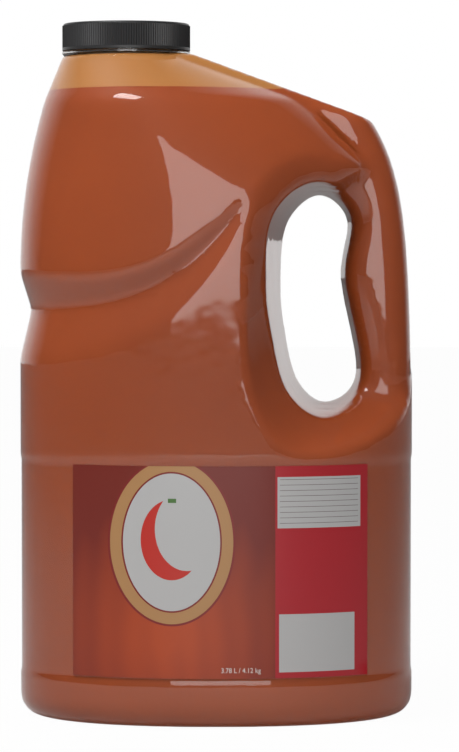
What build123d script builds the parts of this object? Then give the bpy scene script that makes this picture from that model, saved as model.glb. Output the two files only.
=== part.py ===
"""A one-gallon clear PET jug of hot sauce: jug with a through handle, its fill, a ribbed
screw cap and a label on the front.  Millimetres, +Z up, base centre at the origin, the
handle to +X and the label facing -Y.  The XZ plane is the mould's parting plane, so the
front and back of the jug are mirror images."""
import os
from math import acos, atan2, copysign, cos, pi, radians, sin, tan

from build123d import *

# ---- overall ------------------------------------------------------------------------
HEIGHT = 300.0            # base to top of cap
WIDTH = 170.6             # left side to grip
DEPTH = 124.8             # front to back
FULLNESS = 2.2            # how square the oval is: an ellipse is 2
OVAL_POINTS = 24

# ---- jug wall and base --------------------------------------------------------------
WALL = 0.8
BASE_RADIUS = 9.0         # rounding where the side meets the base
PUSH_UP = 3.0             # height of the hollow under the base
PUSH_UP_RIM = 24.0        # width of the ring that the jug stands on
BUMPER_HEIGHT = 20.5      # plain band below the label panel
PANEL_HEIGHT = 91.5       # label panel
PANEL_DEPTH = 0.4         # how far the label panel is set in

# ---- shoulder and neck --------------------------------------------------------------
CONE_HEIGHT = 20.0        # straight cone under the neck
CONE_SPREAD = 7.7         # how far its left side stands out from the neck ring
TAPER_HEIGHT = 93.0       # body narrows over this height below the neck ring
SHOULDER_DEPTH = 102.0    # front to back where the cone starts
SHOULDER_WIDTH = 118.0    # left to right where the cone starts
SHOULDER_FULLNESS = 1.75
ROOF_DROP = 28.8          # fall of the sloping shoulder from neck to corner
CORNER_INSET = 17.8       # corner of the shoulder, in from the right side
NECK_RADIUS = 25.6
NECK_OFFSET = 46.2        # neck axis, in from the left side
RING_RADIUS = 27.9
RING_HEIGHT = 1.3
NECK_WALL = 2.0

# ---- handle -------------------------------------------------------------------------
GAP_WIDTH = 32.6          # hand opening, at the parting plane
GAP_HEIGHT = 89.8
GAP_TO_CORNER = 32.2      # top of the opening, below the shoulder's corner
GRIP_WIDTH = 24.5         # right side to the opening at its widest
DRAFT = 8.4               # mould draft of the opening, degrees
WEB_THICKNESS = 38.0      # the flat part around the opening and along the grip
WEB_RADIUS = 12.0
WEB_SETBACK = 0.3         # its outer side, in from the body's
RIM_RADIUS = 7.0          # round the hand opening
CREASE_HALF_DEPTH = 58.0  # where the crease outline below is taken
RECESS_SLOPE = 0.62       # sideways run of the recess wall for each unit of depth

# ---- waist groove -------------------------------------------------------------------
GROOVE_DEPTH = 4.9
GROOVE_WIDTH = 36.0
GROOVE_DROP = 113.0       # centre of the groove, below the neck ring
GROOVE_RISE = 48.0        # how far it climbs towards the handle
GROOVE_REACH = 98.5       # from the left side to its pointed end
GROOVE_OVERSHOOT = 4.0    # how far its cutter stands out of the body

# ---- fill, cap and label ------------------------------------------------------------
FILL_DROP = 15.8          # sauce level, below the neck ring
FILL_CLEARANCE = 0.2
CAP_RADIUS = 27.8
CAP_HEIGHT = 11.7
CAP_WALL = 1.5
CAP_LIP = 1.2             # plain band under the ribs
CAP_EDGE = 1.0            # plain rounded edge above them
RIB_COUNT = 160
RIB_DEPTH = 0.35
CAP_CLEARANCE = 0.4       # cap skirt to neck ring
LABEL_WIDTH = 124.8
LABEL_OFFSET = 1.9        # label centre, right of the jug's centre
LABEL_THICKNESS = 0.2
LABEL_MARGIN = 1.0        # panel edge to label edge

# ---- places that follow from the sizes ----------------------------------------------
left_x = -WIDTH / 2
right_x = WIDTH / 2
neck_x = left_x + NECK_OFFSET
cap_z = HEIGHT - CAP_HEIGHT
ring_z = cap_z - CAP_CLEARANCE - RING_HEIGHT
cone_z = ring_z - CONE_HEIGHT
corner_x = right_x - CORNER_INSET
corner_z = ring_z - ROOF_DROP
gap_x = right_x - GRIP_WIDTH - GAP_WIDTH / 2
gap_z = corner_z - GAP_TO_CORNER - GAP_HEIGHT / 2
panel_top = BUMPER_HEIGHT + PANEL_HEIGHT
web_half = WEB_THICKNESS / 2
fill_z = ring_z - FILL_DROP

# The opening's outline as shares of its half-width and half-height, clockwise from the top.
GAP_OUTLINE = [(-0.01, 1.0), (0.75, 0.77), (0.59, 0.2), (1.0, -0.72), (0.21, -1.0),
               (-0.55, -0.79), (-0.9, -0.28), (-1.0, 0.18), (-0.83, 0.73)]

# The recess's crease where the jug is deepest, from the opening's centre.
CREASE = [(-27.0, 36.0), (-29.3, 8.0), (-30.1, -13.0), (-28.0, -34.0), (-21.7, -51.0),
          (-13.3, -61.5), (-2.8, -66.0), (9.8, -67.5), (30.0, -71.0)]


def oval(angle, left, right, half_depth, widest=0.0, fullness=FULLNESS):
    """A point of the body's outline: two half ovals that meet where it is widest."""
    across = abs(cos(angle)) ** (2 / fullness)
    deep = copysign(abs(sin(angle)) ** (2 / fullness), sin(angle))
    reach = right - widest if cos(angle) > 0 else left - widest
    return widest + reach * across, half_depth * deep


def section(z, left, right, half_depth, widest=0.0, fullness=FULLNESS):
    """The body's section at one height."""
    points = []
    for i in range(OVAL_POINTS):
        angle = 2 * pi * i / OVAL_POINTS
        points.append((*oval(angle, left, right, half_depth, widest, fullness), z))
    return make_face(Spline(points, periodic=True))


def outward(points, distance):
    """A closed run of points moved outwards, square to the line through their neighbours."""
    moved = []
    for i, (x, z) in enumerate(points):
        before = points[i - 1]
        after = points[(i + 1) % len(points)]
        along = atan2(after[1] - before[1], after[0] - before[0])
        moved.append((x - distance * sin(along), z + distance * cos(along)))
    return moved


def body(inset):
    """The oval body, its tapering shoulder and the cone up to the neck."""
    half_depth = DEPTH / 2 - inset
    left = left_x + inset
    right = right_x - inset
    taper_z = ring_z - TAPER_HEIGHT
    rise = cone_z - taper_z
    shell = extrude(section(inset, left, right, half_depth), taper_z - inset)
    shell = fillet(shell.edges().group_by(Axis.Z)[0], BASE_RADIUS - inset)

    # How far the left, right and front draw in on the way up to the cone.
    left_in = NECK_OFFSET - RING_RADIUS - CONE_SPREAD
    right_in = WIDTH - SHOULDER_WIDTH - left_in
    front_in = (DEPTH - SHOULDER_DEPTH) / 2
    sections = []
    for share in (0.0, 0.25, 0.5, 0.75, 1.0):
        sections.append(section(taper_z + share * rise,
                                left + left_in * share ** 2,
                                right - right_in * share ** 2,
                                half_depth - front_in * share ** 2.4,
                                neck_x * 0.8 * share ** 2,
                                FULLNESS - (FULLNESS - SHOULDER_FULLNESS) * share))
    upper = loft(sections)
    neck_radius = RING_RADIUS - 0.6 - inset
    cone = loft([sections[-1], section(ring_z, neck_x - neck_radius, neck_x + neck_radius,
                                       neck_radius, neck_x, 2)], ruled=True)
    return shell + upper + cone


def push_up(inset):
    """The hollow under the base, drafted, with a flat roof."""
    half_x = WIDTH / 2 - PUSH_UP_RIM + inset
    half_y = DEPTH / 2 - PUSH_UP_RIM + inset
    low = Plane.XY.offset(inset - 1) * Ellipse(half_x, half_y)
    high = Plane.XY.offset(PUSH_UP + inset) * Ellipse(half_x - PUSH_UP * 2, half_y - PUSH_UP * 2)
    return loft([low, high], ruled=True)


def groove(inset):
    """The tapering groove round the waist: V sections set round the body's left half."""
    start_z = ring_z - GROOVE_DROP
    half_depth = DEPTH / 2
    tip_share = (left_x + GROOVE_REACH) / right_x
    tip_angle = acos(copysign(abs(tip_share) ** (FULLNESS / 2), tip_share))
    shapes = []
    steps = 14
    for i in range(-steps, steps + 1):
        angle = pi - abs(i) / steps * (pi - tip_angle)
        x, y = oval(angle, left_x, right_x, half_depth)
        y = copysign(y, i)
        reach = (x - left_x) / GROOVE_REACH
        fade = max(1 - reach ** 10, 0.0) ** 0.5
        width = GROOVE_WIDTH * (1 - 0.52 * reach) * fade + 1.0
        depth = GROOVE_DEPTH * (1 - 0.25 * reach) * fade + 0.1
        middle = start_z + GROOVE_RISE * reach ** 3.2
        valley = middle + width * (0.07 + 0.2 * reach)
        spread = width / 2 * (1 + GROOVE_OVERSHOOT / depth)
        steep = FULLNESS - 1
        across = Vector(copysign(abs(x / right_x) ** steep, x) / right_x,
                        copysign(abs(y / half_depth) ** steep, y) / half_depth).normalized()
        frame = Plane(origin=(x, y, 0), x_dir=across, z_dir=(across.Y, -across.X, 0))
        outline = Polyline((-depth - inset, valley), (GROOVE_OVERSHOOT, middle + spread),
                           (GROOVE_OVERSHOOT, middle - spread), close=True)
        shapes.append(frame * make_face(outline))
    return loft(shapes, ruled=True)


def gap(inset):
    """The hand opening, drafted out from the parting plane to both faces."""
    def outline(y):
        half = [(gap_x + u * GAP_WIDTH / 2, gap_z + v * GAP_HEIGHT / 2) for u, v in GAP_OUTLINE]
        grown = outward(half, inset + abs(y) * tan(radians(DRAFT)))
        return make_face(Spline([(x, y, z) for x, z in grown], periodic=True))

    reach = DEPTH / 2 + 10
    front = loft([outline(-reach), outline(0)], ruled=True)
    return front + mirror(front, Plane.XZ)


def recess(inset):
    """What is cut away in front of the web: crease outline, walls sloping inwards."""
    def outline(depth):
        shift = (CREASE_HALF_DEPTH - depth) * RECESS_SLOPE - inset
        side = Spline([(gap_x + x + shift, -depth, gap_z + z + shift) for x, z in CREASE])
        start, end = side @ 0, side @ 1
        far = right_x + 60
        top = HEIGHT + 30
        rest = Polyline(end, (far, -depth, end.Z), (far, -depth, top),
                        (start.X, -depth, top), start)
        return make_face([side, rest])

    front = loft([outline(DEPTH / 2 + 12), outline(0)], ruled=True)
    return front + mirror(front, Plane.XZ)


def web(inset):
    """The flat part that carries the hand opening and the grip, with rounded outer sides."""
    half = web_half - inset
    foot = BUMPER_HEIGHT + inset
    rise = corner_z - foot
    sections = []
    for share in (0, 0.3, 0.5, 0.6, 0.7, 0.78, 0.84, 0.89, 0.93, 0.97, 1.0, 1.2):
        drawn_in = CORNER_INSET * (0.3 * min(share, 1) ** 4 + 0.7 * min(share, 1) ** 11)
        outer = right_x - WEB_SETBACK - inset - drawn_in
        sections.append(Plane.XY.offset(foot + share * rise) * Pos((outer + neck_x) / 2, 0)
                        * RectangleRounded(outer - neck_x, 2 * half, WEB_RADIUS - inset))
    shape = loft(sections, ruled=True)
    profile = Polyline((neck_x, 0, ring_z - inset), (neck_x, 0, foot), (right_x + 40, 0, foot),
                       (right_x + 40, 0, corner_z - inset - 14.0), (corner_x, 0, corner_z - inset),
                       (neck_x + RING_RADIUS, 0, ring_z - inset), close=True)
    shape &= extrude(make_face(profile), DEPTH / 2, both=True)
    shape -= gap(inset)
    rims = [edge for edge in shape.edges() if abs(abs(edge.center().Y) - half) < 0.01
            and abs(edge.center().Z - gap_z) < GAP_HEIGHT / 2 + 10
            and abs(edge.center().X - gap_x) < GAP_WIDTH / 2 + 8 and edge.length > 20]
    return fillet(rims, RIM_RADIUS - inset)


def jug(inset):
    """The jug's outer form, or the form that lies this far inside it."""
    shape = body(inset) - recess(inset)
    shape += web(inset)
    shape -= gap(inset)
    shape -= groove(inset)
    return shape - push_up(inset)


def disc(low, high, radius):
    """A round plug about the neck's axis."""
    return extrude(Plane.XY.offset(low) * Pos(neck_x, 0) * Circle(radius), high - low)


def make_bottle():
    """The blown jug with its neck ring and the finish that the cap screws on."""
    neck_top = HEIGHT - CAP_WALL
    outer = jug(0) - label_panel()
    outer += disc(ring_z - 1.0, ring_z + RING_HEIGHT, RING_RADIUS)
    outer += disc(ring_z, neck_top, NECK_RADIUS)
    inner = jug(WALL) + disc(ring_z - 3.0, neck_top, NECK_RADIUS - NECK_WALL)

    # The outer and inner skins meet only in the rim of the mouth.
    outer_top = outer.faces().sort_by(Axis.Z)[-1]
    inner_top = inner.faces().sort_by(Axis.Z)[-1]
    rim = Face(outer_top.outer_wire(), [inner_top.outer_wire()])
    skins = [face for face in outer.faces() if not face.is_same(outer_top)]
    skins += [face for face in inner.faces() if not face.is_same(inner_top)]
    return Solid(Shell(skins + [rim]))


def label_panel():
    """The shallow band, set in all round the body, that takes the label."""
    outside = section(BUMPER_HEIGHT, left_x - 5, right_x + 5, DEPTH / 2 + 5)
    core = section(BUMPER_HEIGHT, left_x + PANEL_DEPTH, right_x - PANEL_DEPTH,
                   DEPTH / 2 - PANEL_DEPTH)
    return extrude(outside, PANEL_HEIGHT) - extrude(core, PANEL_HEIGHT)


def make_sauce():
    """The fill, which takes up the whole inside of the jug to its level."""
    inside = jug(WALL + FILL_CLEARANCE)
    return split(inside, Plane.XY.offset(fill_z), keep=Keep.BOTTOM)


def make_cap():
    """The moulded screw cap: a ribbed skirt over a plain lip, seated on the neck."""
    rim = CAP_RADIUS - RIB_DEPTH
    lip = Plane.XY.offset(cap_z) * Pos(neck_x, 0) * Circle(CAP_RADIUS)
    teeth = []
    for i in range(2 * RIB_COUNT):
        angle = pi * i / RIB_COUNT
        radius = CAP_RADIUS if i % 2 else rim
        teeth.append((neck_x + radius * cos(angle), radius * sin(angle), cap_z + CAP_LIP))
    ribs = extrude(make_face(Polyline(teeth, close=True)), CAP_HEIGHT - CAP_LIP - CAP_EDGE)
    top = Plane.XY.offset(HEIGHT - CAP_EDGE) * Pos(neck_x, 0) * Circle(rim)
    top = extrude(top, CAP_EDGE)
    top = fillet(top.edges().group_by(Axis.Z)[-1], CAP_EDGE * 0.9)
    hollow = Plane.XY.offset(cap_z) * Pos(neck_x, 0) * Circle(RING_RADIUS - CAP_WALL)
    return extrude(lip, CAP_LIP) + ribs + top - extrude(hollow, CAP_HEIGHT - CAP_WALL)


def make_label():
    """The film label, wrapped on the front of the label panel."""
    inner = section(BUMPER_HEIGHT + LABEL_MARGIN, left_x + PANEL_DEPTH, right_x - PANEL_DEPTH,
                    DEPTH / 2 - PANEL_DEPTH)
    outer = section(BUMPER_HEIGHT + LABEL_MARGIN, left_x + PANEL_DEPTH - LABEL_THICKNESS,
                    right_x - PANEL_DEPTH + LABEL_THICKNESS,
                    DEPTH / 2 - PANEL_DEPTH + LABEL_THICKNESS)
    height = PANEL_HEIGHT - 2 * LABEL_MARGIN
    window = Pos(LABEL_OFFSET, -DEPTH / 2, panel_top) * Box(LABEL_WIDTH, DEPTH, 4 * PANEL_HEIGHT)
    return (extrude(outer, height) - extrude(inner, height)) & window


os.makedirs("parts", exist_ok=True)
for name, make in (("bottle", make_bottle), ("sauce", make_sauce), ("cap", make_cap),
                   ("label", make_label)):
    part = make()
    print(name, round(part.volume / 1000, 1), "cm3")
    export_step(part, os.path.join("parts", name + ".step"))
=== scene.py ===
from math import atan2, copysign, cos, pi, radians, sin, tan

import bpy
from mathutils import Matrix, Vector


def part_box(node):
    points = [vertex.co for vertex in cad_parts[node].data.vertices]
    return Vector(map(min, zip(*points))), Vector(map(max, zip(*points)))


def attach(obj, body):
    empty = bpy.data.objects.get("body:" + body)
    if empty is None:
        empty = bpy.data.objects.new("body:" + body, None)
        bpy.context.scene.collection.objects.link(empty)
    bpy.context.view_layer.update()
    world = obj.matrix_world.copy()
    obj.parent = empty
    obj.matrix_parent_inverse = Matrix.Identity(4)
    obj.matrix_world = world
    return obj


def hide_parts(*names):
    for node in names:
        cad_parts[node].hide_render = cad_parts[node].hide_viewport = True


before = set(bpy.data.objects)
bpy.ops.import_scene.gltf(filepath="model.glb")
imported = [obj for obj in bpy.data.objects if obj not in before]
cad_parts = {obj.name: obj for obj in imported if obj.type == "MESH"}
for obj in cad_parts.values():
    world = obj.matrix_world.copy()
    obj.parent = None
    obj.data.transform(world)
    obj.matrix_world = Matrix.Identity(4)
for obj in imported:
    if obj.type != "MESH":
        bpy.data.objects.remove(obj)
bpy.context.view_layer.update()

# ---- the jug ------------------------------------------------------------------------
# A one-gallon jug blown from clear plastic: an oval body with a tapering groove round its
# waist, a recess on both faces and, in the recess, a flat web with the hand opening.  It is
# one piece, made here in millimetres from the same oval sections as its mould.
MM = 0.001
low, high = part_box("bottle")
left_x, right_x = low.x / MM, high.x / MM
half_depth = (high.y - low.y) / 2 / MM
cap_low, cap_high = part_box("cap")
neck_x = (cap_low.x + cap_high.x) / 2 / MM
top_z = cap_high.z / MM
cap_z = cap_low.z / MM
ring_z = cap_z - 1.7
FULLNESS = 2.2
BASE_RADIUS = 9.0
TAPER_HEIGHT = 93.0
CONE_HEIGHT = 20.0
RING_RADIUS = 27.9
SHOULDER_LEFT = left_x + 10.6
SHOULDER_RIGHT = SHOULDER_LEFT + 118.0
SHOULDER_DEPTH = 51.0
SHOULDER_FULLNESS = 1.75
AROUND = 256
RING_STEP = 1.5


def deselect():
    bpy.ops.object.select_all(action="DESELECT")


def choose(thing):
    deselect()
    thing.select_set(True)
    bpy.context.view_layer.objects.active = thing


def mesh_object(name, points, faces):
    """A mesh piece from points in millimetres."""
    mesh = bpy.data.meshes.new(name)
    mesh.from_pydata([(x * MM, y * MM, z * MM) for x, y, z in points], [], faces)
    thing = bpy.data.objects.new(name, mesh)
    bpy.context.scene.collection.objects.link(thing)
    choose(thing)
    bpy.ops.object.mode_set(mode="EDIT")
    bpy.ops.mesh.select_all(action="SELECT")
    bpy.ops.mesh.remove_doubles(threshold=0.01 * MM)
    bpy.ops.mesh.normals_make_consistent(inside=False)
    bpy.ops.object.mode_set(mode="OBJECT")
    return thing


def skinned(name, rings):
    """A closed piece skinned over rings that all have as many points."""
    count = len(rings[0])
    points = [point for ring in rings for point in ring]
    faces = []
    for i in range(len(rings) - 1):
        for j in range(count):
            a, b = i * count + j, i * count + (j + 1) % count
            faces.append((a, b, b + count, a + count))
    faces.append(tuple(range(count))[::-1])
    faces.append(tuple(range((len(rings) - 1) * count, len(rings) * count)))
    return mesh_object(name, points, faces)


def modify(thing, kind, **settings):
    """Adds a modifier with these settings and applies it."""
    choose(thing)
    modifier = thing.modifiers.new(kind, kind)
    for key, value in settings.items():
        setattr(modifier, key, value)
    bpy.ops.object.modifier_apply(modifier=modifier.name)


def combine(thing, other, operation):
    """Joins, cuts or crops a piece by another, which is used up."""
    modify(thing, "BOOLEAN", operation=operation, object=other, solver="MANIFOLD")
    bpy.data.objects.remove(other)


def copy_of(thing, name):
    twin = thing.copy()
    twin.data = thing.data.copy()
    twin.name = name
    bpy.context.scene.collection.objects.link(twin)
    return twin


def oval(angle, left, right, deep, widest, fullness):
    across = abs(cos(angle)) ** (2 / fullness)
    out = copysign(abs(sin(angle)) ** (2 / fullness), sin(angle))
    reach = right - widest if cos(angle) > 0 else left - widest
    return widest + reach * across, deep * out


taper_z = ring_z - TAPER_HEIGHT
cone_z = ring_z - CONE_HEIGHT


def section(z):
    """Left, right, half-depth, widest place and fullness of the body at a height."""
    if z < BASE_RADIUS:
        tuck = BASE_RADIUS - (BASE_RADIUS ** 2 - (BASE_RADIUS - z) ** 2) ** 0.5
        return left_x + tuck, right_x - tuck, half_depth - tuck, 0.0, FULLNESS
    share = min(max((z - taper_z) / (cone_z - taper_z), 0.0), 1.0)
    return (left_x + (SHOULDER_LEFT - left_x) * share ** 2,
            right_x - (right_x - SHOULDER_RIGHT) * share ** 2,
            half_depth - (half_depth - SHOULDER_DEPTH) * share ** 2.4,
            neck_x * 0.8 * share ** 2,
            FULLNESS - (FULLNESS - SHOULDER_FULLNESS) * share)


# The groove: how far it is pressed in, at a place across and up the body.
GROOVE_DEPTH = 4.9
GROOVE_WIDTH = 36.0
GROOVE_REACH = 98.5
GROOVE_RISE = 48.0
groove_z = ring_z - 113.0


def groove(x, z):
    reach = (x - left_x) / GROOVE_REACH
    if reach >= 1:
        return 0.0
    reach = max(reach, 0.0)
    fade = (1 - reach ** 10) ** 0.5
    width = GROOVE_WIDTH * (1 - 0.52 * reach) * fade + 0.5
    depth = GROOVE_DEPTH * (1 - 0.25 * reach) * fade
    place = (z - groove_z - GROOVE_RISE * reach ** 3.2) / width + 0.5
    valley = 0.57 + 0.2 * reach
    if place <= 0 or place >= 1:
        return 0.0
    return depth * (place / valley if place < valley else (1 - place) / (1 - valley))


def body_ring(z):
    left, right, deep, widest, fullness = section(z)
    steep = fullness - 1
    ring = []
    for j in range(AROUND):
        angle = 2 * pi * j / AROUND
        x, y = oval(angle, left, right, deep, widest, fullness)
        if z > cone_z:
            share = (z - cone_z) / CONE_HEIGHT
            radius = RING_RADIUS - 0.6
            x += (neck_x + radius * cos(angle) - x) * share
            y += (radius * sin(angle) - y) * share
        pressed = groove(x, z)
        across = copysign(abs(x / right_x) ** steep, x) / right_x
        out = copysign(abs(y / half_depth) ** steep, y) / half_depth
        size = (across ** 2 + out ** 2) ** 0.5
        ring.append((x - pressed * across / size, y - pressed * out / size, z))
    return ring


heights = [BASE_RADIUS * (1 - cos(pi / 2 * i / 8)) for i in range(8)]
straight = int((ring_z - BASE_RADIUS) / RING_STEP)
heights += [BASE_RADIUS + (ring_z - BASE_RADIUS) * i / straight for i in range(straight + 1)]
jug = skinned("jug", [body_ring(z) for z in heights])

# The recess and the hand opening, placed from the sloping shoulder's outer corner.
corner_x = right_x - 17.8
corner_z = ring_z - 28.8
GAP_HALF_WIDTH = 16.3
GAP_HALF_HEIGHT = 44.9
GRIP_WIDTH = 24.5
GAP_TO_CORNER = 32.2
gap_x = right_x - GRIP_WIDTH - GAP_HALF_WIDTH
gap_z = corner_z - GAP_TO_CORNER - GAP_HALF_HEIGHT
GAP_OUTLINE = [(-0.01, 1.0), (0.75, 0.77), (0.59, 0.2), (1.0, -0.72), (0.21, -1.0),
               (-0.55, -0.79), (-0.9, -0.28), (-1.0, 0.18), (-0.83, 0.73)]
CREASE = [(-27.0, 36.0), (-29.3, 8.0), (-30.1, -13.0), (-28.0, -34.0), (-21.7, -51.0),
          (-13.3, -61.5), (-2.8, -66.0), (9.8, -67.5), (30.0, -71.0)]
CREASE_HALF_DEPTH = 58.0
RECESS_SLOPE = 0.62
TOP_SLANT = 2.2
DRAFT = radians(8.4)


def smooth_line(points, steps, closed):
    """A smooth line through points, with this many steps between each two."""
    count = len(points)
    line = []
    for i in range(count if closed else count - 1):
        if closed:
            near = [points[(i + k) % count] for k in (-1, 0, 1, 2)]
        else:
            near = [points[min(max(i + k, 0), count - 1)] for k in (-1, 0, 1, 2)]
        for k in range(steps):
            t = k / steps
            weights = (-t / 2 + t * t - t ** 3 / 2, 1 - 2.5 * t * t + 1.5 * t ** 3,
                       t / 2 + 2 * t * t - 1.5 * t ** 3, (t ** 3 - t * t) / 2)
            line.append(tuple(sum(w * p[a] for w, p in zip(weights, near)) for a in (0, 1)))
    if not closed:
        line.append(points[-1])
    return line


def recess_ring(y):
    shift = (CREASE_HALF_DEPTH - abs(y)) * RECESS_SLOPE
    line = []
    for u, v in smooth_line(CREASE, 8, False):
        slant = 1 + (TOP_SLANT - 1) * min(max(v / CREASE[0][1], 0.0), 1.0) ** 1.5
        line.append((gap_x + u + shift * slant, gap_z + v + shift))
    line += [(right_x + 60, line[-1][1]), (right_x + 60, 330.0), (line[0][0], 330.0)]
    return [(x, y, z) for x, z in line]


def gap_ring(y, flare=0.0):
    half = [(gap_x + u * GAP_HALF_WIDTH, gap_z + v * GAP_HALF_HEIGHT)
            for u, v in smooth_line(GAP_OUTLINE, 10, True)]
    wider = abs(y) * tan(DRAFT) + flare
    ring = []
    for i, (x, z) in enumerate(half):
        before, after = half[i - 1], half[(i + 1) % len(half)]
        along = atan2(after[1] - before[1], after[0] - before[0])
        ring.append((x - wider * sin(along), y, z + wider * cos(along)))
    return ring


reach = half_depth + 12
combine(jug, skinned("recess_front", [recess_ring(-reach), recess_ring(0.0)]), "DIFFERENCE")
combine(jug, skinned("recess_back", [recess_ring(reach), recess_ring(0.0)]), "DIFFERENCE")

# The web: rounded slabs up to the corner, cropped by the sloping roof, with the hand
# opening's rims rounded.
WEB_HALF = 19.0
WEB_RADIUS = 12.0
WEB_SETBACK = 0.3
WEB_LOW = 22.0
WEB_STEPS = 90
BUMPER = 20.5
RIM_RADIUS = 8.0


def web_ring(z):
    share = (z - BUMPER) / (corner_z - BUMPER) if z < corner_z else 1.0
    outer = right_x - WEB_SETBACK - (right_x - corner_x) * (0.3 * share ** 4 + 0.7 * share ** 11)
    ring = []
    for cx, cy, start in ((outer - WEB_RADIUS, WEB_HALF - WEB_RADIUS, 0),
                          (neck_x + WEB_RADIUS, WEB_HALF - WEB_RADIUS, 1),
                          (neck_x + WEB_RADIUS, WEB_RADIUS - WEB_HALF, 2),
                          (outer - WEB_RADIUS, WEB_RADIUS - WEB_HALF, 3)):
        for i in range(9):
            angle = pi / 2 * (start + i / 8)
            ring.append((cx + WEB_RADIUS * cos(angle), cy + WEB_RADIUS * sin(angle), z))
    return ring


web = skinned("web", [web_ring(WEB_LOW + (top_z - WEB_LOW) * i / WEB_STEPS)
                      for i in range(WEB_STEPS + 1)])
roof = [(neck_x, ring_z), (neck_x + RING_RADIUS, ring_z), (corner_x, corner_z),
        (right_x + 40, corner_z - 14), (right_x + 40, 0), (neck_x, 0)]
combine(web, skinned("roof", [[(x, y, z) for x, z in roof] for y in (-80, 80)]), "INTERSECT")
flares = []
for i in range(-12, 13):
    y = i / 12 * (WEB_HALF + 4)
    deep = max(abs(y) - (WEB_HALF - RIM_RADIUS), 0.0)
    flare = RIM_RADIUS - max(RIM_RADIUS ** 2 - deep ** 2, 0.0) ** 0.5
    flares.append(gap_ring(y, flare))
combine(web, skinned("rim", flares), "DIFFERENCE")
combine(jug, skinned("opening", [gap_ring(-reach), gap_ring(0.0), gap_ring(reach)]), "DIFFERENCE")
combine(jug, web, "UNION")

# Blown plastic has no sharp edge anywhere: the joined form is remeshed and relaxed.
SKIN = 1.75
modify(jug, "REMESH", mode="VOXEL", voxel_size=SKIN * MM)
modify(jug, "SMOOTH", factor=0.5, iterations=5)

# The label panel is set in a little all round, and the base is pushed up inside its ring.
PANEL_TOP = 112.0
PANEL_DEPTH = 0.4
PUSH_UP = 3.0
PUSH_UP_RIM = 24.0
STEP = 1.2


def ramp(value, start, end):
    share = min(max((value - start) / (end - start), 0.0), 1.0)
    return share * share * (3 - 2 * share)


def set_in(x, y, z):
    """How far the panel is set in at a point of the skin."""
    inside = ramp(z, BUMPER - STEP, BUMPER) - ramp(z, PANEL_TOP, PANEL_TOP + STEP)
    return PANEL_DEPTH * inside


normals = [vertex.normal.copy() for vertex in jug.data.vertices]
for vertex, normal in zip(jug.data.vertices, normals):
    x, y, z = vertex.co / MM
    vertex.co -= normal * set_in(x, y, z) * MM
    if z < 2.0:
        far = (abs(x / (right_x - PUSH_UP_RIM)) ** 2 + abs(y / (half_depth - PUSH_UP_RIM)) ** 2) ** 0.5
        vertex.co.z = max(vertex.co.z, 0) + PUSH_UP * (1 - ramp(far, 0.86, 1.0)) * MM


def inner_skin(name, voxel, depth):
    """A coarser copy of the jug's outside, this far inside it."""
    skin = copy_of(jug, name)
    modify(skin, "REMESH", mode="VOXEL", voxel_size=voxel * MM)
    modify(skin, "SMOOTH", factor=0.5, iterations=2)
    modify(skin, "DISPLACE", direction="NORMAL", mid_level=0.0, strength=-depth * MM)
    return skin


def shade_smooth(thing, angle=40):
    choose(thing)
    bpy.ops.object.shade_smooth_by_angle(angle=radians(angle))


def new_material(name):
    material = bpy.data.materials.new(name)
    material.use_nodes = True
    return material, material.node_tree.nodes, material.node_tree.links


def finish_with(thing, material, slot, *nodes):
    """Gives a finished piece its material and the body it rides on; the slot is not used."""
    thing.data.materials.clear()
    thing.data.materials.append(material)
    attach(thing, "root")
    if nodes:
        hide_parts(*nodes)


def bump_from(nodes, links, scale, strength, distance, detail=4.0):
    """A fine noise relief, in metres, for a shader's normal."""
    place = nodes.new("ShaderNodeTexCoord")
    noise = nodes.new("ShaderNodeTexNoise")
    noise.inputs["Scale"].default_value = scale
    noise.inputs["Detail"].default_value = detail
    bump = nodes.new("ShaderNodeBump")
    bump.inputs["Strength"].default_value = strength
    bump.inputs["Distance"].default_value = distance
    links.new(place.outputs["Object"], noise.inputs["Vector"])
    links.new(noise.outputs["Fac"], bump.inputs["Height"])
    return bump, noise


# The wall's inner face, and the skins of the sauce and of the film above it, which reach
# just into the wall so that no air gap shows.
WALL = 0.8
COARSE, FINE = 2.8, 2.4
SAUCE_DEPTH, FILM_DEPTH = 0.45, 0.62
cavity = inner_skin("cavity", COARSE, WALL)
choose(cavity)
bpy.ops.object.mode_set(mode="EDIT")
bpy.ops.mesh.select_all(action="SELECT")
bpy.ops.mesh.flip_normals()
bpy.ops.object.mode_set(mode="OBJECT")
sauce = inner_skin("sauce_fill", FINE, SAUCE_DEPTH)
film = inner_skin("film", FINE, FILM_DEPTH)
deselect()
cavity.select_set(True)
jug.select_set(True)
bpy.context.view_layer.objects.active = jug
bpy.ops.object.join()
shade_smooth(jug)

clear, nodes, links = new_material("clear blown plastic")
shader = nodes["Principled BSDF"]
shader.inputs["Base Color"].default_value = (1.0, 0.985, 0.965, 1)
shader.inputs["Roughness"].default_value = 0.03
shader.inputs["IOR"].default_value = 1.57
shader.inputs["Transmission Weight"].default_value = 1.0
bump, noise = bump_from(nodes, links, 45.0, 0.25, 0.0006, 2.0)
links.new(bump.outputs["Normal"], shader.inputs["Normal"])
rough = nodes.new("ShaderNodeMapRange")
rough.inputs["To Min"].default_value = 0.02
rough.inputs["To Max"].default_value = 0.07
links.new(noise.outputs["Fac"], rough.inputs["Value"])
links.new(rough.outputs["Result"], shader.inputs["Roughness"])
ray = nodes.new("ShaderNodeLightPath")
passing = nodes.new("ShaderNodeBsdfTransparent")
mixed = nodes.new("ShaderNodeMixShader")
links.new(ray.outputs["Is Shadow Ray"], mixed.inputs["Fac"])
links.new(shader.outputs["BSDF"], mixed.inputs[1])
links.new(passing.outputs["BSDF"], mixed.inputs[2])
links.new(mixed.outputs["Shader"], nodes["Material Output"].inputs["Surface"])
finish_with(jug, clear, "clear_plastic", "bottle")

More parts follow.
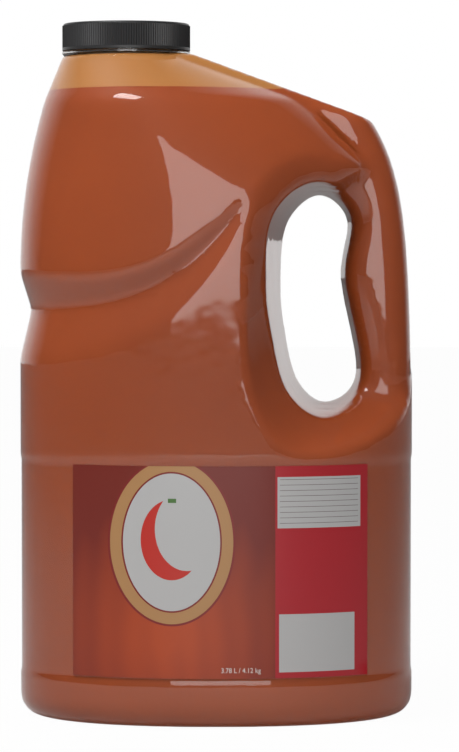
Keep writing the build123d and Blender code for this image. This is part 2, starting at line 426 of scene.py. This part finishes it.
# ---- the neck finish ----------------------------------------------------------------
# The thick clear neck that the cap screws on, with the ring that stops the cap.  It is
# moulded first and the jug is blown below it.
RING_THICK = 1.3
neck_profile = [(23.6, ring_z - 1.5), (26.6, ring_z - 1.5), (RING_RADIUS - 0.3, ring_z),
                (RING_RADIUS, ring_z + 0.3), (RING_RADIUS, ring_z + RING_THICK - 0.3),
                (RING_RADIUS - 0.3, ring_z + RING_THICK), (25.6, ring_z + RING_THICK),
                (25.6, top_z - 1.5), (23.6, top_z - 1.5)]
TURNS = 160
neck_rings = []
for i in range(TURNS):
    angle = 2 * pi * i / TURNS
    neck_rings.append([(neck_x + r * cos(angle), r * sin(angle), z) for r, z in neck_profile])
count = len(neck_profile)
neck_faces = [(i * count + j, i * count + (j + 1) % count,
               (i + 1) % TURNS * count + (j + 1) % count, (i + 1) % TURNS * count + j)
              for i in range(TURNS) for j in range(count)]
neck = mesh_object("neck_finish", [p for ring in neck_rings for p in ring], neck_faces)
shade_smooth(neck)
finish_with(neck, clear, "clear_plastic", "bottle")

# ---- the sauce ----------------------------------------------------------------------
# Thick red-brown pepper sauce up to just under the neck.  It wets the wall, so its skin
# lies just inside the plastic and its top is level.
fill_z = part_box("sauce")[1].z / MM


def crop(thing, z, keep_below):
    """Cuts a closed piece level at a height and caps the cut."""
    choose(thing)
    bpy.ops.object.mode_set(mode="EDIT")
    bpy.ops.mesh.select_all(action="SELECT")
    bpy.ops.mesh.bisect(plane_co=(0, 0, z * MM), plane_no=(0, 0, 1), use_fill=True,
                        clear_outer=keep_below, clear_inner=not keep_below)
    bpy.ops.object.mode_set(mode="OBJECT")


crop(sauce, fill_z, True)
shade_smooth(sauce, 30)
pepper, nodes, links = new_material("red-brown sauce")
shader = nodes["Principled BSDF"]
shader.inputs["Roughness"].default_value = 0.45
shader.inputs["Specular IOR Level"].default_value = 0.15
place = nodes.new("ShaderNodeTexCoord")
cloud = nodes.new("ShaderNodeTexNoise")
cloud.inputs["Scale"].default_value = 9.0
cloud.inputs["Detail"].default_value = 5.0
links.new(place.outputs["Object"], cloud.inputs["Vector"])
tone = nodes.new("ShaderNodeValToRGB")
tone.color_ramp.elements[0].position = 0.3
tone.color_ramp.elements[0].color = (0.232, 0.045, 0.010, 1)
tone.color_ramp.elements[1].position = 0.7
tone.color_ramp.elements[1].color = (0.268, 0.054, 0.012, 1)
links.new(cloud.outputs["Fac"], tone.inputs["Fac"])
links.new(tone.outputs["Color"], shader.inputs["Base Color"])
finish_with(sauce, pepper, "sauce", "sauce")

# ---- the film above the fill --------------------------------------------------------
# Sauce that ran down inside the headspace leaves a thin amber coat on the wall. The coat is opaque
# here, so the light from behind that glows through it is painted into its colour: its light amber is
# partly its own colour and partly painted back-light glow.
crop(film, fill_z, False)
choose(film)
FILM_THICK = 0.35
modify(film, "SOLIDIFY", thickness=FILM_THICK * MM, offset=-1.0)
shade_smooth(film, 30)
amber_and_painted_glow, nodes, links = new_material("amber sauce film and painted glow")
shader = nodes["Principled BSDF"]
# Painted glow: this light amber stands for the coat's own colour plus back-light shining through it.
shader.inputs["Base Color"].default_value = (0.34, 0.148, 0.040, 1)
shader.inputs["Roughness"].default_value = 0.4
shader.inputs["Specular IOR Level"].default_value = 0.2
finish_with(film, amber_and_painted_glow, "sauce")

# ---- the cap ------------------------------------------------------------------------
# A black moulded screw cap with fine ribs round its skirt, screwed down onto the neck.
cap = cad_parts["cap"]
black, nodes, links = new_material("black moulded plastic")
shader = nodes["Principled BSDF"]
shader.inputs["Base Color"].default_value = (0.028, 0.028, 0.029, 1)
shader.inputs["Roughness"].default_value = 0.42
bump, noise = bump_from(nodes, links, 900.0, 0.3, 0.0001)
links.new(bump.outputs["Normal"], shader.inputs["Normal"])
cap.data.materials.clear()
cap.data.materials.append(black)

# ---- the label ----------------------------------------------------------------------
# A glossy printed film, wrapped and glued on the front of the label panel.
label_low, label_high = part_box("label")
LABEL_LEFT, LABEL_RIGHT = label_low.x / MM, label_high.x / MM
LABEL_BOTTOM, LABEL_TOP = label_low.z / MM, label_high.z / MM
LABEL_THICK = 0.2
PROUD = 0.12
LIFT = 0.9               # of the lower right corner, which has come loose
LIFT_REACH = 7.0
COLUMNS, ROWS = 220, 60


def panel_y(x, out):
    """The front of the label panel at a place across it, moved out this far."""
    a = right_x - PANEL_DEPTH + out
    b = half_depth - PANEL_DEPTH + out
    return -b * (1 - abs(x / a) ** FULLNESS) ** (1 / FULLNESS)


points = []
for j in range(ROWS + 1):
    z = LABEL_BOTTOM + (LABEL_TOP - LABEL_BOTTOM) * j / ROWS
    for i in range(COLUMNS + 1):
        x = LABEL_LEFT + (LABEL_RIGHT - LABEL_LEFT) * i / COLUMNS
        to_corner = ((LABEL_RIGHT - x) ** 2 + (z - LABEL_BOTTOM) ** 2) ** 0.5
        corner = max(0.0, 1 - to_corner / LIFT_REACH)
        points.append((x, panel_y(x, PROUD + LIFT * corner ** 2), z))
label = mesh_object("front_label", points,
                    [(j * (COLUMNS + 1) + i, j * (COLUMNS + 1) + i + 1,
                      (j + 1) * (COLUMNS + 1) + i + 1, (j + 1) * (COLUMNS + 1) + i)
                     for j in range(ROWS) for i in range(COLUMNS)])
modify(label, "SOLIDIFY", thickness=LABEL_THICK * MM, offset=1.0)
shade_smooth(label)
printed, nodes, links = new_material("printed label film")
shader = nodes["Principled BSDF"]
place = nodes.new("ShaderNodeTexCoord")
split = nodes.new("ShaderNodeSeparateXYZ")
links.new(place.outputs["Object"], split.inputs["Vector"])


def sum_of(operation, first, second):
    """One step of shader arithmetic on numbers or outputs."""
    node = nodes.new("ShaderNodeMath")
    node.operation = operation
    for socket, value in zip(node.inputs, (first, second)):
        if isinstance(value, (int, float)):
            socket.default_value = value
        else:
            links.new(value, socket)
    return node.outputs["Value"]


across = sum_of("DIVIDE", split.outputs["X"], MM)
up = sum_of("DIVIDE", split.outputs["Z"], MM)


def field(left, right, low, high):
    """One inside a rectangle on the label, and nothing outside it."""
    wide = sum_of("MULTIPLY", sum_of("GREATER_THAN", across, left),
                  sum_of("LESS_THAN", across, right))
    tall = sum_of("MULTIPLY", sum_of("GREATER_THAN", up, low), sum_of("LESS_THAN", up, high))
    return sum_of("MULTIPLY", wide, tall)


def far_from(x, z, half_width, half_height):
    """How far a place is from an oval's middle, with one on its outline."""
    squares = []
    for place_on, middle, half in ((across, x, half_width), (up, z, half_height)):
        far = sum_of("DIVIDE", sum_of("SUBTRACT", place_on, middle), half)
        squares.append(sum_of("POWER", sum_of("ABSOLUTE", far, 0), 2))
    return sum_of("SQRT", sum_of("ADD", *squares), 0)


def oval_field(x, z, half_width, half_height):
    return sum_of("LESS_THAN", far_from(x, z, half_width, half_height), 1.0)


def print_over(below, colour, mask):
    """Prints one flat ink over what is there, where the mask is one."""
    node = nodes.new("ShaderNodeMix")
    node.data_type = "RGBA"
    colours = [socket for socket in node.inputs if socket.type == "RGBA"]
    colours[1].default_value = (*colour, 1)
    links.new(mask, node.inputs["Factor"])
    links.new(below, colours[0])
    return [socket for socket in node.outputs if socket.type == "RGBA"][0]


WHITE_INK = (0.47, 0.465, 0.46)
TAN_INK = (0.42, 0.22, 0.085)
DARK_INK = (0.20, 0.012, 0.010)
CRIMSON_INK = (0.40, 0.010, 0.018)
PEPPER_INK = (0.50, 0.020, 0.010)
STALK_INK = (0.06, 0.16, 0.03)
RULE_INK = (0.12, 0.08, 0.08)
TABLE_BOX = (26.0, 61.3, 84.8, 106.4)
BARCODE_BOX = (26.7, 58.8, 24.0, 48.5)
RULES, FIRST_RULE, RULE_GAP, RULE_THICK = 9, 86.8, 2.3, 0.2
BADGE_X, BADGE_Z, BADGE_WIDE, BADGE_TALL = -18.6, 79.0, 26.0, 34.5
PANEL_EDGE = 25.1

# The ground glows orange low in the middle and darkens to the corners in soft streaks.
streaks = nodes.new("ShaderNodeTexWave")
streaks.inputs["Scale"].default_value = 28.0
streaks.inputs["Distortion"].default_value = 3.0
streaks.inputs["Detail"].default_value = 2.0
links.new(place.outputs["Object"], streaks.inputs["Vector"])
glow_far = sum_of("ADD", far_from(BADGE_X, 40.0, 62.0, 60.0),
                  sum_of("MULTIPLY", streaks.outputs["Fac"], 0.10))
ground = nodes.new("ShaderNodeValToRGB")
ground.color_ramp.elements[0].position = 0.15
ground.color_ramp.elements[0].color = (0.43, 0.058, 0.009, 1)
ground.color_ramp.elements[1].position = 1.05 / 1.1
ground.color_ramp.elements[1].color = (0.17, 0.014, 0.006, 1)
links.new(glow_far, ground.inputs["Fac"])
ink = ground.outputs["Color"]
for grow, colour in ((0.9, DARK_INK), (0.0, TAN_INK), (-4.8, DARK_INK), (-5.5, WHITE_INK)):
    ink = print_over(ink, colour, oval_field(BADGE_X, BADGE_Z, BADGE_WIDE + grow, BADGE_TALL + grow))
# A plain curved pepper with its stalk stands in the badge.
pod = sum_of("MULTIPLY", oval_field(BADGE_X, 80.0, 13.0, 17.0),
             sum_of("SUBTRACT", 1.0, oval_field(BADGE_X + 6.5, 84.5, 13.5, 17.5)))
ink = print_over(ink, PEPPER_INK, pod)
ink = print_over(ink, STALK_INK, field(BADGE_X - 1.5, BADGE_X + 2.0, 95.6, 97.4))
ink = print_over(ink, CRIMSON_INK, field(PANEL_EDGE, LABEL_RIGHT + 10, 0, LABEL_TOP + 10))
ink = print_over(ink, WHITE_INK, field(*TABLE_BOX))
for i in range(RULES):
    z = FIRST_RULE + RULE_GAP * i
    ink = print_over(ink, RULE_INK, field(TABLE_BOX[0] + 1, TABLE_BOX[1] - 1, z, z + RULE_THICK))
ink = print_over(ink, WHITE_INK, field(*BARCODE_BOX))
links.new(ink, shader.inputs["Base Color"])
shader.inputs["Roughness"].default_value = 0.3
bump, noise = bump_from(nodes, links, 120.0, 0.15, 0.0002, 2.0)
links.new(bump.outputs["Normal"], shader.inputs["Normal"])
finish_with(label, printed, "label_film", "label")

# ---- the printed measure ------------------------------------------------------------
# The net volume and weight, in small white letters low on the label.  The ink is a film
# of its own that follows the label round.
bpy.ops.object.text_add()
measure = bpy.context.object
measure.name = "printed_measure"
measure.data.body = "3.78 L / 4.12 kg"
measure.data.size = 3.0 * MM
measure.data.resolution_u = 3
choose(measure)
bpy.ops.object.convert(target="MESH")
MEASURE_LEFT, MEASURE_WIDE, MEASURE_LOW, INK_THICK = 2.2, 16.8, 24.0, 0.08
wide = max(vertex.co.x for vertex in measure.data.vertices)
for vertex in measure.data.vertices:
    x = MEASURE_LEFT + vertex.co.x / wide * MEASURE_WIDE
    y = panel_y(x, PROUD + LABEL_THICK + INK_THICK)
    vertex.co = (x * MM, y * MM, MEASURE_LOW * MM + vertex.co.y)
letters, nodes, links = new_material("white ink")
shader = nodes["Principled BSDF"]
shader.inputs["Base Color"].default_value = (0.72, 0.66, 0.62, 1)
shader.inputs["Roughness"].default_value = 0.4
bump, noise = bump_from(nodes, links, 900.0, 0.1, 0.0001)
links.new(bump.outputs["Normal"], shader.inputs["Normal"])
finish_with(measure, letters, "label_film")

# ---- floor, light and camera --------------------------------------------------------
# A white table in a white room, one soft box high on the left and one in front, and a
# long lens level with the jug's shoulder.
bpy.ops.mesh.primitive_plane_add(size=12, location=(0, 0, 0))
floor = bpy.context.object
floor.name = "floor"
white, nodes, links = new_material("white floor")
shader = nodes["Principled BSDF"]
shader.inputs["Base Color"].default_value = (0.9, 0.9, 0.9, 1)
shader.inputs["Roughness"].default_value = 0.9
glow = nodes.new("ShaderNodeEmission")
ray = nodes.new("ShaderNodeLightPath")
seen = nodes.new("ShaderNodeMath")
seen.operation = "MAXIMUM"
links.new(ray.outputs["Is Camera Ray"], seen.inputs[0])
links.new(ray.outputs["Is Transmission Ray"], seen.inputs[1])
share = nodes.new("ShaderNodeMath")
share.operation = "MULTIPLY"
share.inputs[1].default_value = 0.975
links.new(seen.outputs["Value"], share.inputs[0])
mixed = nodes.new("ShaderNodeMixShader")
links.new(share.outputs["Value"], mixed.inputs["Fac"])
links.new(shader.outputs["BSDF"], mixed.inputs[1])
links.new(glow.outputs["Emission"], mixed.inputs[2])
links.new(mixed.outputs["Shader"], nodes["Material Output"].inputs["Surface"])
floor.data.materials.append(white)

world = bpy.data.worlds.new("room")
bpy.context.scene.world = world
world.use_nodes = True
nodes, links = world.node_tree.nodes, world.node_tree.links
room = nodes["Background"]
room.inputs["Color"].default_value = (1, 1, 1, 1)
place = nodes.new("ShaderNodeTexCoord")
split = nodes.new("ShaderNodeSeparateXYZ")
links.new(place.outputs["Generated"], split.inputs["Vector"])
behind = nodes.new("ShaderNodeMapRange")
behind.inputs["From Min"].default_value = 0.35
behind.inputs["From Max"].default_value = 0.75
behind.inputs["To Min"].default_value = 0.07
behind.inputs["To Max"].default_value = 1.0
links.new(split.outputs["Y"], behind.inputs["Value"])
ray = nodes.new("ShaderNodeLightPath")
seen = nodes.new("ShaderNodeMath")
seen.operation = "MAXIMUM"
links.new(ray.outputs["Is Camera Ray"], seen.inputs[0])
links.new(ray.outputs["Is Transmission Ray"], seen.inputs[1])
level = nodes.new("ShaderNodeMath")
level.operation = "MAXIMUM"
links.new(seen.outputs["Value"], level.inputs[0])
links.new(behind.outputs["Result"], level.inputs[1])
links.new(level.outputs["Value"], room.inputs["Strength"])


def soft_box(name, azimuth, distance, height, width, tall, level):
    """A rectangular lamp aimed at the jug's middle, with its face this bright."""
    lamp = bpy.data.lights.new(name, "AREA")
    lamp.shape = "RECTANGLE"
    lamp.size = width
    lamp.size_y = tall
    lamp.energy = level * width * tall * pi
    thing = bpy.data.objects.new(name, lamp)
    bpy.context.scene.collection.objects.link(thing)
    angle = radians(azimuth)
    thing.location = (distance * sin(angle), -distance * cos(angle), height)
    aim = -thing.location
    aim.z += 0.17
    thing.rotation_euler = aim.to_track_quat("-Z", "Y").to_euler()


soft_box("soft_box_high", -45, 0.71, 1.3, 0.65, 0.65, 9.0)
soft_box("soft_box_front", 2, 1.75, 0.57, 1.14, 0.87, 3.0)

camera = bpy.data.cameras.new("camera")
camera.sensor_fit = "VERTICAL"
camera.sensor_height = 24.0
camera.lens = 117.1
view = bpy.data.objects.new("camera", camera)
bpy.context.scene.collection.objects.link(view)
view.location = (0.0058, -1.6, 0.2019)
view.rotation_euler = (radians(90 - 1.97), 0, 0)
bpy.context.scene.camera = view

bpy.context.scene.view_settings.view_transform = "Standard"
